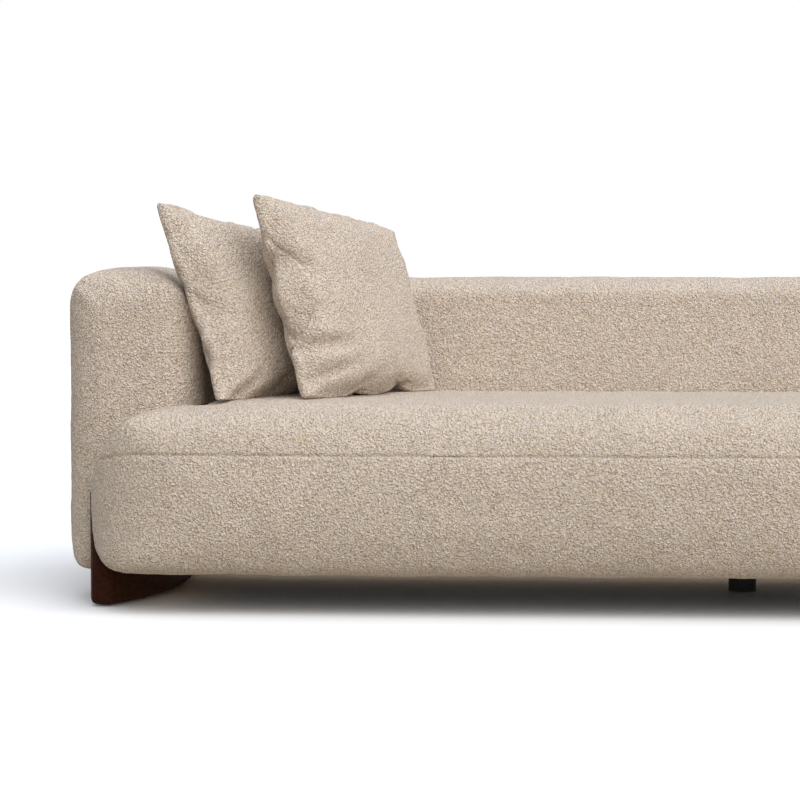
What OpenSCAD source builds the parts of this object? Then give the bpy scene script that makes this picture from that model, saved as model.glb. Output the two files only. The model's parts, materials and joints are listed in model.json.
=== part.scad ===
// Bench sofa: thick upholstered arms and back, one long seat, two solid wood blade legs, two pillows.
// X runs along the sofa, -Y is its front and Z is up. The origin is on the floor under its middle.

/* [Overall] */
// Length over the outer faces of the two arms
sofa_w = 2880; // [2400:20:3500]
// Depth from the seat's front to the rear of the back
sofa_d = 960; // [860:10:1160]

/* [Seat] */
// Height of the seat's top above the floor
seat_h = 425; // [390:5:500]
// Height of the seat's underside above the floor
seat_clear = 80; // [65:5:100]
// Distance from an arm's outer face to the seat's end
seat_inset = 63; // [62:1:110]
// How far the seat's front stands ahead of the arms
seat_step = 200; // [160:5:240]
// Height of the seam between the seat's top panel and its band
seam_h = 330; // [300:5:360]
// Radius of the seat's two front corners, seen from above
seat_plan_r = 185; // [120:5:190]
// Radius of the seat's ends at the top, seen from the front
seat_end_r = 190; // [120:5:210]
// Radius of the long top edge along the seat's front
seat_edge_r = 95; // [60:5:120]
// Radius of the seat's lower edge along the front
seat_under_r = 60; // [40:5:75]
// Radius of the seat's ends at the bottom, seen from the front
seat_end_under_r = 90; // [80:5:110]
// Thickness of the soft foam layer on top of the seat
topper_t = 75; // [50:5:90]

/* [Arms] */
// Thickness of an arm
arm_t = 280; // [230:5:340]
// Height of the arms above the floor
arm_h = 707; // [620:5:800]
// Height of the arms' lower edge above the floor
arm_clear = 68; // [60:2:100]
// Radius of an arm's outer top edge
arm_outer_r = 80; // [40:5:110]
// Radius of an arm's inner top edge
arm_inner_r = 130; // [60:5:150]
// Radius of the upright edges of an arm's front face
arm_face_r = 70; // [30:5:90]
// Radius of an arm's lower outer edge
arm_hem_r = 40; // [10:5:60]
// Thickness of the padding on an arm's front and inner faces
arm_pad = 40; // [30:2:50]

/* [Back] */
// Thickness of the back
back_t = 310; // [250:5:370]
// Height of the back above the floor
back_h = 690; // [600:5:780]
// Height of the back's lower edge above the floor
back_clear = 70; // [60:2:100]
// Distance from an arm's outer face to the back's end
back_inset = 10; // [0:1:30]
// Radius of the back's long top edges
back_top_r = 105; // [50:5:120]
// Radius of the back's rear corners, seen from above
back_corner_r = 110; // [40:5:120]
// Thickness of the padding on the back's front face
back_pad = 100; // [60:5:110]
// Thickness of the padding on the back's rear face
back_rear_pad = 24; // [15:1:40]

/* [Legs] */
// Height of the wood blades above the floor
leg_h = 240; // [200:5:260]
// Thickness of a blade at its rounded nose
leg_nose_t = 50; // [40:2:60]
// Distance from an arm's outer face to the blade's outer face
leg_inset = 60; // [60:1:78]
// How far a blade's nose stands ahead of the arm
leg_lead = 50; // [30:2:70]
// Distance from a blade's tail to the rear of the back
leg_tail = 50; // [30:5:120]
// Free space between a blade's belly and the arm's inner panel
leg_gap = 15; // [12:1:25]
// Radius of a blade's lower edges
leg_edge_r = 22; // [10:1:22]
// Thickness of the felt glides
glide_t = 3; // [2:0.5:5]
// Diameter of the support under the middle of the sofa
foot_d = 60; // [50:2:80]

/* [Frame] */
// Thickness of the base frame's rails
rail_t = 28; // [22:1:32]
// Height of the base frame's lower edge above the floor
rail_z = 90; // [88:1:110]
// Height of the base frame's rails
rail_h = 140; // [110:5:150]
// Thickness of the arm panels
panel_t = 12; // [9:1:18]
// Thickness of the plates, posts and ribs
board_t = 22; // [18:1:25]
// Thickness of the board behind the back
hardboard_t = 4; // [3:0.5:6]
// Width of the webbing straps
strap_w = 60; // [40:5:70]
// Thickness of the webbing straps
strap_t = 1.5; // [1:0.5:2]

/* [Fasteners] */
// Diameter of the frame bolts
bolt_d = 8; // [6:1:10]
// Diameter of the bolt heads
bolt_head_d = 13; // [10:1:18]
// Height of the bolt heads
bolt_head_h = 5; // [4:1:8]
// Depth that the leg bolts reach into a blade
leg_bolt_grip = 60; // [40:5:90]

/* [Pillows] */
// Length of a pillow's sides
pillow_w = 500; // [420:10:560]
// Height of a loose pillow, sunk under its own weight
pillow_h = 470; // [400:10:500]
// Thickness of a pillow at its middle
pillow_t = 165; // [120:5:180]
// Thickness of a pillow along its sides
pillow_edge_t = 34; // [20:2:44]
// Turn of the pillows' faces toward the sofa's front
pillow_yaw = 26; // [15:1:35]
// Lean of the pillows from upright
pillow_lean = 17; // [12:1:20]
// Distance along the sofa from the arm's inner face to the middle of the rear pillow's lower edge
rear_pillow_x = 173; // [173:1:240]
// Distance from the back's face to the middle of the rear pillow's lower edge
rear_pillow_y = 278; // [278:1:330]
// Distance from the mid plane of the rear pillow to that of the front pillow
pillow_pitch = 164; // [164:1:230]
// Distance that the front pillow lies nearer the back, along its own plane
pillow_shift = 110; // [0:5:110]

/* [Fabric] */
// Thickness of the woven covers
cover_t = 3; // [2:0.5:4]
// Radius of the back's lower rear edge
back_hem_r = 25; // [15:5:30]
// Radius of a pillow's corners
pillow_corner_r = 45; // [35:5:60]
// Clearance between pieces that only touch
fit = 0.3; // [0.2:0.1:0.5]
// Clearance between an arm's foam and its cover
foam_slack = 0.5; // [0.5]

/* [Hidden] */
$fn = 96;

cream = "#d2c5b6";
walnut = "#50332a";
beech = "#cda876";
ply = "#c9b083";
foam_white = "#eadfb8";
felt = "#3a3836";
steel = "#9a9ca0";
black_cloth = "#2b2b2d";
jute = "#8f7a5a";

// Planes of the main blocks
arm_x_out = sofa_w / 2;
arm_x_in = arm_x_out - arm_t;
front_y = -sofa_d / 2;
rear_y = sofa_d / 2;
arm_y = front_y + seat_step;
back_y = rear_y - back_t;
seat_x_end = arm_x_out - seat_inset;
wing_gap = 4;
wing_rear_y = arm_y - wing_gap;
wing_rail_gap = 14;

// Legs: a flat outer face and an arched inner face, seen from above
leg_x = arm_x_out - leg_inset;
inner_panel_x = arm_x_in + arm_pad;
leg_belly = leg_x - inner_panel_x - panel_t - leg_gap;
leg_y0 = arm_y - leg_lead;
leg_y1 = rear_y - leg_tail;
leg_mid_y = (leg_y0 + leg_y1) / 2;
leg_half = (leg_y1 - leg_y0) / 2;
leg_rise = leg_belly - leg_nose_t;
leg_arc_r = (leg_half * leg_half + leg_rise * leg_rise) / (2 * leg_rise);
leg_nose_r = leg_nose_t / 2;
glide_w = 34;
glide_l = 90;
leg_bolt_x = leg_x - leg_belly / 2;

// Base frame
frame_x = inner_panel_x;
rail_top = rail_z + rail_h;
front_foam_t = 50;
frame_y0 = front_y + front_foam_t;
frame_y1 = rear_y - back_rear_pad - hardboard_t;
wing_foam_t = 70;
wing_frame_x = seat_x_end - wing_foam_t;
deck_z = rail_top + 2 * strap_t;
cross_n = 3;
cross_pitch = (2 * frame_x - rail_t) / (cross_n + 1);
mid_rail_y1 = back_y;
corner_block = 60;

// Arm frame
arm_frame_y = arm_y + arm_pad;
arm_top_foam_t = 45;
arm_frame_z = arm_h - arm_top_foam_t;
arm_rear_y = back_y - fit;

// Back frame
rib_y0 = back_y + back_pad;
rib_y1 = frame_y1;
back_frame_x = leg_x + 3;
back_top_foam_t = 40;
back_frame_z = back_h - back_top_foam_t;

// Bolts
bolt_r = bolt_d / 2;
bore_r = bolt_r + fit;
arm_bolt_ys = [arm_frame_y + 80, arm_rear_y - 80];
arm_bolt_z = rail_z + rail_h / 2;
back_bolt_z = rail_top + 40;

// What rounds off the corners of a rectangle from p to q: its lower left, lower right,
// upper right and upper left corners have these radii.
module corner_cuts(p, q, radii) {
    corners = [[p, 0], [[q[0], p[1]], 90], [q, 180], [[p[0], q[1]], 270]];
    for (i = [0 : 3])
        if (radii[i] > 0)
            translate(corners[i][0]) rotate(corners[i][1])
                difference() {
                    translate([-5, -5]) square(radii[i] + 5);
                    translate([radii[i], radii[i]]) circle(radii[i]);
                }
}

module round_rect(p, q, radii) {
    difference() {
        translate(p) square(q - p);
        corner_cuts(p, q, radii);
    }
}

// Extrusions that keep a drawing's own axes: XZ along Y, and YZ along X
module along_y(y0, y1) {
    translate([0, y1, 0]) rotate([90, 0, 0]) linear_extrude(y1 - y0) children();
}

module along_x(x0, x1) {
    translate([x0, 0, 0]) rotate([90, 0, 90]) linear_extrude(x1 - x0) children();
}

module box(x, y, z) {
    translate([x[0], y[0], z[0]]) cube([x[1] - x[0], y[1] - y[0], z[1] - z[0]]);
}

// A box on both sides of the sofa's middle plane
module box_pair(x, y, z) {
    box(x, y, z);
    mirror([1, 0, 0]) box(x, y, z);
}

// Drawn for the right end, which lies at +X
module at_side(left) {
    mirror([left ? 1 : 0, 0, 0]) children();
}

// The seat's outer form, drawn in by inset on every side
module seat_form(inset) {
    x = seat_x_end - inset;
    y = [front_y + inset, back_y - fit - inset];
    z = [seat_clear + inset, seat_h - inset];
    plan_r = seat_plan_r - inset;
    under_r = seat_under_r - inset;
    end_under_r = seat_end_under_r - inset;
    end_r = seat_end_r - inset;
    difference() {
        translate([0, 0, z[0]]) linear_extrude(z[1] - z[0]) {
            round_rect([-x, y[0]], [x, wing_rear_y - inset], [plan_r, plan_r, 0, 0]);
            translate([-arm_x_in + fit + inset, y[0] + plan_r])
                square([2 * (arm_x_in - fit - inset), y[1] - y[0] - plan_r]);
        }
        along_y(y[0] - 5, y[1] + 5)
            corner_cuts([-x, z[0]], [x, z[1]], [end_under_r, end_under_r, end_r, end_r]);
        along_x(-x - 5, x + 5)
            corner_cuts([y[0], z[0]], [y[1], z[1]], [under_r, 0, 0, seat_edge_r - inset]);
    }
}

module arm_form(inset) {
    x = [arm_x_in + inset, arm_x_out - inset];
    y = [arm_y + inset, arm_rear_y - inset];
    z = [arm_clear + inset, arm_h - inset];
    face_r = arm_face_r - inset;
    hem_r = arm_hem_r - inset;
    difference() {
        translate([0, 0, z[0]]) linear_extrude(z[1] - z[0])
            round_rect([x[0], y[0]], [x[1], y[1]], [face_r, face_r, 0, 0]);
        along_y(y[0] - 5, y[1] + 5)
            corner_cuts([x[0], z[0]], [x[1], z[1]], [0, hem_r, arm_outer_r - inset, arm_inner_r - inset]);
        along_x(x[0] - 5, x[1] + 5)
            corner_cuts([y[0], z[0]], [y[1], z[1]], [hem_r, 0, 0, face_r]);
    }
}

module back_form(inset) {
    x = arm_x_out - back_inset - inset;
    y = [back_y + inset, rear_y - inset];
    z = [back_clear + inset, back_h - inset];
    corner_r = back_corner_r - inset;
    end_r = back_corner_r / 2 - inset;
    top_r = back_top_r - inset;
    difference() {
        translate([0, 0, z[0]]) linear_extrude(z[1] - z[0])
            round_rect([-x, y[0]], [x, y[1]], [0, 0, corner_r, corner_r]);
        along_y(y[0] - 5, y[1] + 5)
            corner_cuts([-x, z[0]], [x, z[1]], [0, 0, end_r, end_r]);
        along_x(-x - 5, x + 5)
            corner_cuts([y[0], z[0]], [y[1], z[1]], [0, back_hem_r - inset, top_r, top_r]);
    }
}

// Space that the base frame takes out of the upholstery, reaching past the frame's ends by margin
module base_space(margin = fit) {
    y0 = frame_y0 - fit;
    x = frame_x + margin;
    linear_extrude(deck_z + fit) {
        translate([-x, y0]) square([2 * x, frame_y1 + hardboard_t + fit - y0]);
        translate([-wing_frame_x - fit, y0])
            square([2 * (wing_frame_x + fit), wing_rear_y - wing_rail_gap + fit - y0]);
    }
}

// Space that a blade takes out of the upholstery, at the right end
module leg_space(belly) {
    box([leg_x - belly - fit, leg_x + fit], [leg_y0 - fit, leg_y1 + fit], [-1, leg_h + fit]);
}

module leg_spaces(belly) {
    leg_space(belly);
    mirror([1, 0, 0]) leg_space(belly);
}

// Blade leg at the right end. Its nose blends into the arched face with one arc.
module leg_blade() {
    arc_x = leg_x - leg_belly + leg_arc_r;
    nose_y = leg_y0 + leg_nose_r;
    tail_y = leg_y1 - leg_nose_r;
    nose_x = arc_x - sqrt(pow(leg_arc_r - leg_nose_r, 2) - pow(leg_mid_y - nose_y, 2));
    reach = leg_arc_r / (leg_arc_r - leg_nose_r);
    touch_x = arc_x + (nose_x - arc_x) * reach;
    touch_y = leg_mid_y + (nose_y - leg_mid_y) * reach;
    far_x = leg_x - leg_belly - leg_nose_t;
    z = [glide_t, leg_h];
    difference() {
        intersection() {
            translate([0, 0, z[0]]) linear_extrude(z[1] - z[0])
                difference() {
                    round_rect([far_x, leg_y0], [leg_x, leg_y1], [0, leg_nose_r, leg_nose_r, 0]);
                    for (end = [0, 1])
                        translate([0, end * 2 * leg_mid_y]) mirror([0, end, 0])
                            difference() {
                                polygon([[nose_x, leg_y0 - 1], [far_x - 1, leg_y0 - 1],
                                    [far_x - 1, touch_y], [touch_x, touch_y], [nose_x, nose_y]]);
                                translate([nose_x, nose_y]) circle(leg_nose_r);
                            }
                }
            along_y(leg_y0 - 1, leg_y1 + 1)
                round_rect([far_x - 1, z[0]], [leg_x, z[1]], [0, leg_edge_r, 0, 0]);
            along_x(far_x - 1, leg_x + 1)
                round_rect([leg_y0, z[0]], [leg_y1, z[1]], [leg_edge_r, leg_edge_r, 0, 0]);
            translate([arc_x, leg_mid_y, 0]) rotate_extrude()
                round_rect([0, z[0]], [leg_arc_r, z[1]], [0, leg_edge_r, 0, 0]);
        }
        for (y = leg_bolt_ys())
            translate([leg_bolt_x, y, leg_h - leg_bolt_grip - 2])
                cylinder(leg_bolt_grip + 3, bore_r, bore_r);
    }
}

// Two bolts hold a blade to the arm's base plate and one to the back's end plate
function leg_bolt_ys() = [arm_bolt_ys[0], arm_bolt_ys[1], min(rib_y0 + 50, leg_y1 - 90)];

// A bolt that points down from the plane z = 0, with its head above it
module bolt(grip) {
    translate([0, 0, -grip]) cylinder(grip, bolt_r, bolt_r);
    cylinder(bolt_head_h, bolt_head_d / 2, bolt_head_d / 2);
}

module leg_left() {
    color(walnut) at_side(true) leg_blade();
}

module leg_right() {
    color(walnut) at_side(false) leg_blade();
}

module leg_glides() {
    color(felt)
        for (side = [-1, 1])
            for (end = [-1, 1])
                translate([side * (leg_x - leg_belly / 2) - glide_w / 2, leg_mid_y + end * leg_half / 2
                    - glide_l / 2, 0])
                    cube([glide_w, glide_l, glide_t]);
}

module leg_bolts() {
    color(steel)
        for (side = [-1, 1])
            for (y = leg_bolt_ys())
                translate([side * leg_bolt_x, y, leg_h + board_t]) bolt(board_t + leg_bolt_grip);
}

module centre_foot() {
    color(felt) difference() {
        translate([0, 0, glide_t]) cylinder(rail_z - glide_t, foot_d / 2, foot_d / 2);
        translate([0, 0, rail_z - 30]) cylinder(31, bore_r, bore_r);
    }
}

module centre_foot_pad() {
    color(felt) cylinder(glide_t, foot_d / 2, foot_d / 2);
}

module centre_foot_bolt() {
    color(steel) translate([0, 0, rail_z - 28]) cylinder(28 + rail_h / 2, bolt_r, bolt_r);
}

module base_front_rail() {
    color(beech) box([-wing_frame_x, wing_frame_x], [frame_y0, frame_y0 + rail_t], [rail_z, rail_top]);
}

module base_rear_rail() {
    color(beech) box([-frame_x, frame_x], [rib_y1 - rail_t, rib_y1], [rail_z, rail_top]);
}

module base_end_rails() {
    color(beech) difference() {
        box_pair([frame_x - rail_t, frame_x], [frame_y0 + rail_t, rib_y1 - rail_t], [rail_z, rail_top]);
        arm_bolt_bores();
    }
}

// Bores along X for the bolts between the arms and the base frame
module arm_bolt_bores() {
    for (side = [-1, 1])
        for (y = arm_bolt_ys)
            translate([side * frame_x, y, arm_bolt_z]) rotate([0, 90, 0])
                cylinder(4 * rail_t, bore_r, bore_r, center = true);
}

module base_cross_rails() {
    color(beech) difference() {
        for (i = [1 : cross_n])
            translate([-frame_x + i * cross_pitch, frame_y0 + rail_t, rail_z])
                cube([rail_t, rib_y1 - frame_y0 - 2 * rail_t, rail_h]);
        translate([0, 0, rail_z - 1]) cylinder(rail_h / 2 + 3, bore_r, bore_r);
    }
}

module base_mid_rails() {
    color(beech)
        for (i = [0 : cross_n])
            translate([-frame_x + i * cross_pitch + rail_t, mid_rail_y1 - rail_t, rail_z])
                cube([cross_pitch - rail_t, rail_t, rail_h]);
}

// Short rails that carry the seat's front wings, ahead of the arms
module base_wing_rails() {
    rear = wing_rear_y - wing_rail_gap;
    color(beech) {
        box_pair([wing_frame_x - rail_t, wing_frame_x], [frame_y0 + rail_t, rear], [rail_z, rail_top]);
        box_pair([frame_x, wing_frame_x - rail_t], [rear - rail_t, rear], [rail_z, rail_top]);
    }
}

module base_corner_blocks() {
    x = frame_x - rail_t;
    z = [rail_z + 20, rail_top - 20];
    color(beech)
        for (side = [0, 1])
            mirror([side, 0, 0])
                for (corner = [[frame_y0 + rail_t, 1], [rib_y1 - rail_t, -1]])
                    translate([x, corner[0], z[0]]) linear_extrude(z[1] - z[0])
                        polygon([[0, 0], [-corner_block, 0], [0, corner[1] * corner_block]]);
}

// Straps across the seat, on the rails, and straps along it, over them
module seat_webbing_cross() {
    strap_n = 15;
    pitch = 2 * (frame_x - rail_t) / strap_n;
    color(jute)
        for (i = [0 : strap_n - 1])
            translate([-frame_x + rail_t + (i + 0.5) * pitch - strap_w / 2, frame_y0, rail_top])
                cube([strap_w, mid_rail_y1 - frame_y0, strap_t]);
}

module seat_webbing_long() {
    strap_n = 4;
    span = mid_rail_y1 - frame_y0 - 2 * rail_t;
    pitch = span / strap_n;
    color(jute)
        for (i = [0 : strap_n - 1])
            translate([-frame_x, frame_y0 + rail_t + (i + 0.5) * pitch - strap_w / 2, rail_top + strap_t])
                cube([2 * frame_x, strap_w, strap_t]);
}

module dust_cover() {
    color(black_cloth) difference() {
        box([-frame_x, frame_x], [frame_y0, rib_y1], [rail_z - 1, rail_z]);
        translate([0, 0, rail_z - 2]) cylinder(3, foot_d / 2 + fit, foot_d / 2 + fit);
    }
}

module seat_foam_core() {
    color(foam_white) difference() {
        seat_form(cover_t + fit);
        box([-sofa_w, sofa_w], [-sofa_d, sofa_d], [seat_h - topper_t, seat_h + 1]);
        base_space();
        leg_spaces(leg_nose_t + leg_lead);
    }
}

module seat_foam_topper() {
    color(foam_white) intersection() {
        seat_form(cover_t + fit);
        box([-sofa_w, sofa_w], [-sofa_d, sofa_d], [seat_h - topper_t, seat_h + 1]);
    }
}

// The woven cover is a shell around the foam, open where the frame comes through
module seat_shell(z) {
    difference() {
        intersection() {
            seat_form(0);
            box([-sofa_w, sofa_w], [-sofa_d, sofa_d], z);
        }
        seat_form(cover_t);
        base_space();
        leg_spaces(leg_nose_t + leg_lead);
    }
}

module seat_top_cover() {
    color(cream) seat_shell([seam_h, seat_h + 1]);
}

module seat_band_cover() {
    color(cream) seat_shell([0, seam_h]);
}

// Upright ribs of the back stand on the base frame's rails
module back_ribs() {
    last = frame_x - board_t;
    color(ply) difference() {
        for (x = [-frame_x, -frame_x + cross_pitch, -board_t / 2, frame_x - cross_pitch - board_t, last])
            translate([x, rib_y0, rail_top])
                cube([board_t, rib_y1 - rib_y0, back_frame_z - board_t - rail_top]);
        back_bolt_bores();
    }
}

// Bores along X through the outer ribs and the back's end plates
module back_bolt_bores() {
    for (side = [-1, 1])
        translate([side * frame_x, (rib_y0 + rib_y1) / 2, back_bolt_z]) rotate([0, 90, 0])
            cylinder(4 * board_t, bore_r, bore_r, center = true);
}

// Plate over each blade's tail, with a cleat against the outer rib and an upright at the end
module back_end_frames() {
    y = [rib_y0, rib_y1];
    color(ply) difference() {
        union() {
            box_pair([frame_x, back_frame_x], y, [leg_h, leg_h + board_t]);
            box_pair([back_frame_x - board_t, back_frame_x], y, [leg_h + board_t, back_frame_z - board_t]);
            box_pair([frame_x, frame_x + board_t], y, [leg_h + board_t, leg_h + 3 * board_t]);
        }
        back_bolt_bores();
        for (side = [-1, 1])
            translate([side * leg_bolt_x, leg_bolt_ys()[2], leg_h - 1])
                cylinder(board_t + 2, bore_r, bore_r);
    }
}

module back_top_rail() {
    color(ply) box([-back_frame_x, back_frame_x], [rib_y0 + 20, rib_y1],
        [back_frame_z - board_t, back_frame_z]);
}

module back_webbing() {
    strap_n = 4;
    pitch = (back_frame_z - board_t - rail_top) / strap_n;
    color(jute)
        for (i = [0 : strap_n - 1])
            translate([-frame_x, rib_y0 - strap_t, rail_top + (i + 0.5) * pitch - strap_w / 2])
                cube([2 * frame_x, strap_t, strap_w]);
}

module back_rear_board() {
    color(ply) along_y(rib_y1, rib_y1 + hardboard_t) {
        translate([-frame_x, rail_z]) square([2 * frame_x, back_frame_z - rail_z]);
        translate([-back_frame_x, leg_h]) square([2 * back_frame_x, back_frame_z - leg_h]);
    }
}

// Space that the back's own frame takes out of its upholstery
module back_space() {
    y = [rib_y0 - strap_t - fit, rib_y1 + hardboard_t + fit];
    box([-frame_x - fit, frame_x + fit], y, [0, back_frame_z + fit]);
    box([-back_frame_x - fit, back_frame_x + fit], y, [leg_h - fit, back_frame_z + fit]);
}

module back_foam() {
    color(foam_white) difference() {
        back_form(cover_t + fit);
        back_space();
        base_space();
        leg_spaces(leg_belly);
    }
}

module back_cover() {
    color(cream) difference() {
        back_form(0);
        back_form(cover_t);
        back_space();
        base_space();
        leg_spaces(leg_belly);
    }
}

// Arm pieces, drawn at the right end
module arm_outer_panel(left) {
    color(ply) at_side(left)
        box([leg_x, leg_x + panel_t], [arm_frame_y, arm_rear_y], [rail_z, arm_frame_z]);
}

module arm_inner_panel(left) {
    color(ply) difference() {
        at_side(left)
            box([frame_x, frame_x + panel_t], [arm_frame_y, arm_rear_y], [rail_z, arm_frame_z]);
        arm_bolt_bores();
    }
}

module arm_base_plate(left) {
    color(beech) at_side(left) difference() {
        box([frame_x + panel_t, leg_x], [arm_frame_y, arm_rear_y], [leg_h, leg_h + board_t]);
        for (y = arm_bolt_ys)
            translate([leg_bolt_x, y, leg_h - 1]) cylinder(board_t + 2, bore_r, bore_r);
    }
}

module arm_posts(left) {
    z = [leg_h + board_t, arm_frame_z - board_t];
    color(beech) at_side(left)
        for (y = [arm_frame_y, arm_rear_y - board_t])
            box([frame_x + panel_t, leg_x], [y, y + board_t], z);
}

module arm_top_rail(left) {
    color(beech) at_side(left)
        box([frame_x + panel_t, leg_x], [arm_frame_y, arm_rear_y], [arm_frame_z - board_t, arm_frame_z]);
}

// Space that an arm's frame takes out of its upholstery, at the right end
module arm_space() {
    box([frame_x - fit, leg_x + panel_t + fit], [arm_frame_y - fit, rear_y], [0, arm_frame_z + fit]);
}

module arm_foam(left) {
    color(foam_white) at_side(left) difference() {
        arm_form(cover_t + foam_slack);
        arm_space();
        base_space(panel_t / 2);
        leg_space(leg_belly);
    }
}

module arm_cover(left) {
    color(cream) at_side(left) difference() {
        arm_form(0);
        arm_form(cover_t);
        arm_space();
        base_space(panel_t / 2);
        leg_space(leg_belly);
    }
}

module arm_left_outer_panel() {
    arm_outer_panel(true);
}

module arm_left_inner_panel() {
    arm_inner_panel(true);
}

module arm_left_base_plate() {
    arm_base_plate(true);
}

module arm_left_posts() {
    arm_posts(true);
}

module arm_left_top_rail() {
    arm_top_rail(true);
}

module arm_left_foam() {
    arm_foam(true);
}

module arm_left_cover() {
    arm_cover(true);
}

module arm_right_outer_panel() {
    arm_outer_panel(false);
}

module arm_right_inner_panel() {
    arm_inner_panel(false);
}

module arm_right_base_plate() {
    arm_base_plate(false);
}

module arm_right_posts() {
    arm_posts(false);
}

module arm_right_top_rail() {
    arm_top_rail(false);
}

module arm_right_foam() {
    arm_foam(false);
}

module arm_right_cover() {
    arm_cover(false);
}

// Bolts from inside the base frame, through its end rails, into the arms' inner panels
module arm_bolts() {
    color(steel)
        for (side = [0, 1])
            mirror([side, 0, 0])
                for (y = arm_bolt_ys)
                    translate([frame_x - rail_t, y, arm_bolt_z]) rotate([0, -90, 0])
                        bolt(rail_t + panel_t + 4);
}

// Bolts from inside the outer ribs, through them, into the end frames' cleats
module back_bolts() {
    color(steel)
        for (side = [0, 1])
            mirror([side, 0, 0])
                translate([frame_x - board_t, (rib_y0 + rib_y1) / 2, back_bolt_z]) rotate([0, -90, 0])
                    bolt(2 * board_t);
}

// Two arcs that cross: t apart at the middle and rim apart where the lens is w wide
module lens(w, t, rim) {
    half = w / 2;
    rise = (t - rim) / 2;
    r = (half * half + rise * rise) / (2 * rise);
    intersection() {
        translate([t / 2 - r, 0]) circle(r, $fn = 360);
        translate([r - t / 2, 0]) circle(r, $fn = 360);
    }
}

// A pillow that stands on edge: X is its thickness, and its lower side lies on z = 0
module pillow_form(inset) {
    w = pillow_w - 2 * inset;
    h = pillow_h - 2 * inset;
    t = pillow_t - 2 * inset;
    rim = pillow_edge_t - 2 * inset;
    corner_r = pillow_corner_r - inset;
    translate([0, 0, pillow_h / 2]) intersection() {
        along_x(-t, t)
            round_rect([-w / 2, -h / 2], [w / 2, h / 2], [corner_r, corner_r, corner_r, corner_r]);
        linear_extrude(h + 2, center = true) lens(w, t, rim);
        rotate([90, 0, 0]) linear_extrude(w + 2, center = true) lens(h, t, rim);
    }
}

// The pillows lean over the left arm. The lower edge of each clears the seat.
module place_pillow(pitch, shift) {
    drop = pillow_edge_t / 2 * sin(pillow_lean);
    translate([-arm_x_in + rear_pillow_x, back_y - rear_pillow_y, seat_h + drop + 2 * fit])
        rotate([0, 0, -pillow_yaw]) translate([pitch, shift, 0]) rotate([0, -pillow_lean, 0]) children();
}

module pillow_cover(pitch, shift) {
    color(cream) place_pillow(pitch, shift) difference() {
        pillow_form(0);
        pillow_form(cover_t);
    }
}

module pillow_insert(pitch, shift) {
    color(foam_white) place_pillow(pitch, shift) pillow_form(cover_t + fit);
}

module pillow_front_cover() {
    pillow_cover(pillow_pitch / cos(pillow_lean), pillow_shift);
}

module pillow_front_insert() {
    pillow_insert(pillow_pitch / cos(pillow_lean), pillow_shift);
}

module pillow_rear_cover() {
    pillow_cover(0, 0);
}

module pillow_rear_insert() {
    pillow_insert(0, 0);
}

leg_left();
leg_right();
leg_glides();
leg_bolts();
centre_foot();
centre_foot_pad();
centre_foot_bolt();
base_front_rail();
base_rear_rail();
base_end_rails();
base_cross_rails();
base_mid_rails();
base_wing_rails();
base_corner_blocks();
seat_webbing_long();
seat_webbing_cross();
dust_cover();
seat_foam_core();
seat_foam_topper();
seat_top_cover();
seat_band_cover();
back_ribs();
back_end_frames();
back_top_rail();
back_webbing();
back_rear_board();
back_foam();
back_cover();
arm_left_outer_panel();
arm_left_inner_panel();
arm_left_base_plate();
arm_left_posts();
arm_left_top_rail();
arm_left_foam();
arm_left_cover();
arm_right_outer_panel();
arm_right_inner_panel();
arm_right_base_plate();
arm_right_posts();
arm_right_top_rail();
arm_right_foam();
arm_right_cover();
arm_bolts();
back_bolts();
pillow_front_cover();
pillow_front_insert();
pillow_rear_cover();
pillow_rear_insert();
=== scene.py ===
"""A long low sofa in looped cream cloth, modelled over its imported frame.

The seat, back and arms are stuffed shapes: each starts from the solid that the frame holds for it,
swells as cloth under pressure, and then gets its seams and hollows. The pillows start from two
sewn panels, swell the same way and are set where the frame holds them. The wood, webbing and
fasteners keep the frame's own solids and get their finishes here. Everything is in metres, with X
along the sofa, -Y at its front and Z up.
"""

import sys

import json
import logging
import math
from dataclasses import dataclass, field
from enum import Enum
from typing import Callable

import bpy
import numpy as np
from mathutils import Matrix, Vector


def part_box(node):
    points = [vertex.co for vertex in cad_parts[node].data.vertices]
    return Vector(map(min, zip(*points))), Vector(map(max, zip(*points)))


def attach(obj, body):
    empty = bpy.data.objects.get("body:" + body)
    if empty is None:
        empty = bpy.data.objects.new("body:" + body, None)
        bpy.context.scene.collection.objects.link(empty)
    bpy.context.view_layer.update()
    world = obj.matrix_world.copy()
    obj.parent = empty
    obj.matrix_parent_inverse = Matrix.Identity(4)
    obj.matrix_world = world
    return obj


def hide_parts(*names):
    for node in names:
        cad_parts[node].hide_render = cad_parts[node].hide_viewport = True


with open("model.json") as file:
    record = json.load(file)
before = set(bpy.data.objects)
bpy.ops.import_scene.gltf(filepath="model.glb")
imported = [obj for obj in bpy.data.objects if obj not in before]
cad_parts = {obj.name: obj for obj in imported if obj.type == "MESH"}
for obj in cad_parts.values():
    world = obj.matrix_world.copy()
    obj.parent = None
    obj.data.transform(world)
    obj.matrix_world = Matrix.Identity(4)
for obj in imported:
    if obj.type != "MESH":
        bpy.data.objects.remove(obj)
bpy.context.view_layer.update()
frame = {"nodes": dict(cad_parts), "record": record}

MM = 0.001
LOG = logging.getLogger("sofa")


# ---------------------------------------------------------------------------------------------
# Small tools
# ---------------------------------------------------------------------------------------------


def linear(code: str) -> tuple[float, float, float, float]:
    """Turns an sRGB colour to linear light.

    Args:
        code: The colour as "#rrggbb".

    Returns:
        Red, green, blue and an alpha of 1.
    """
    values = [int(code[i:i + 2], 16) / 255 for i in (1, 3, 5)]
    low = [v / 12.92 if v <= 0.04045 else ((v + 0.055) / 1.055) ** 2.4 for v in values]
    return (low[0], low[1], low[2], 1.0)


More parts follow.
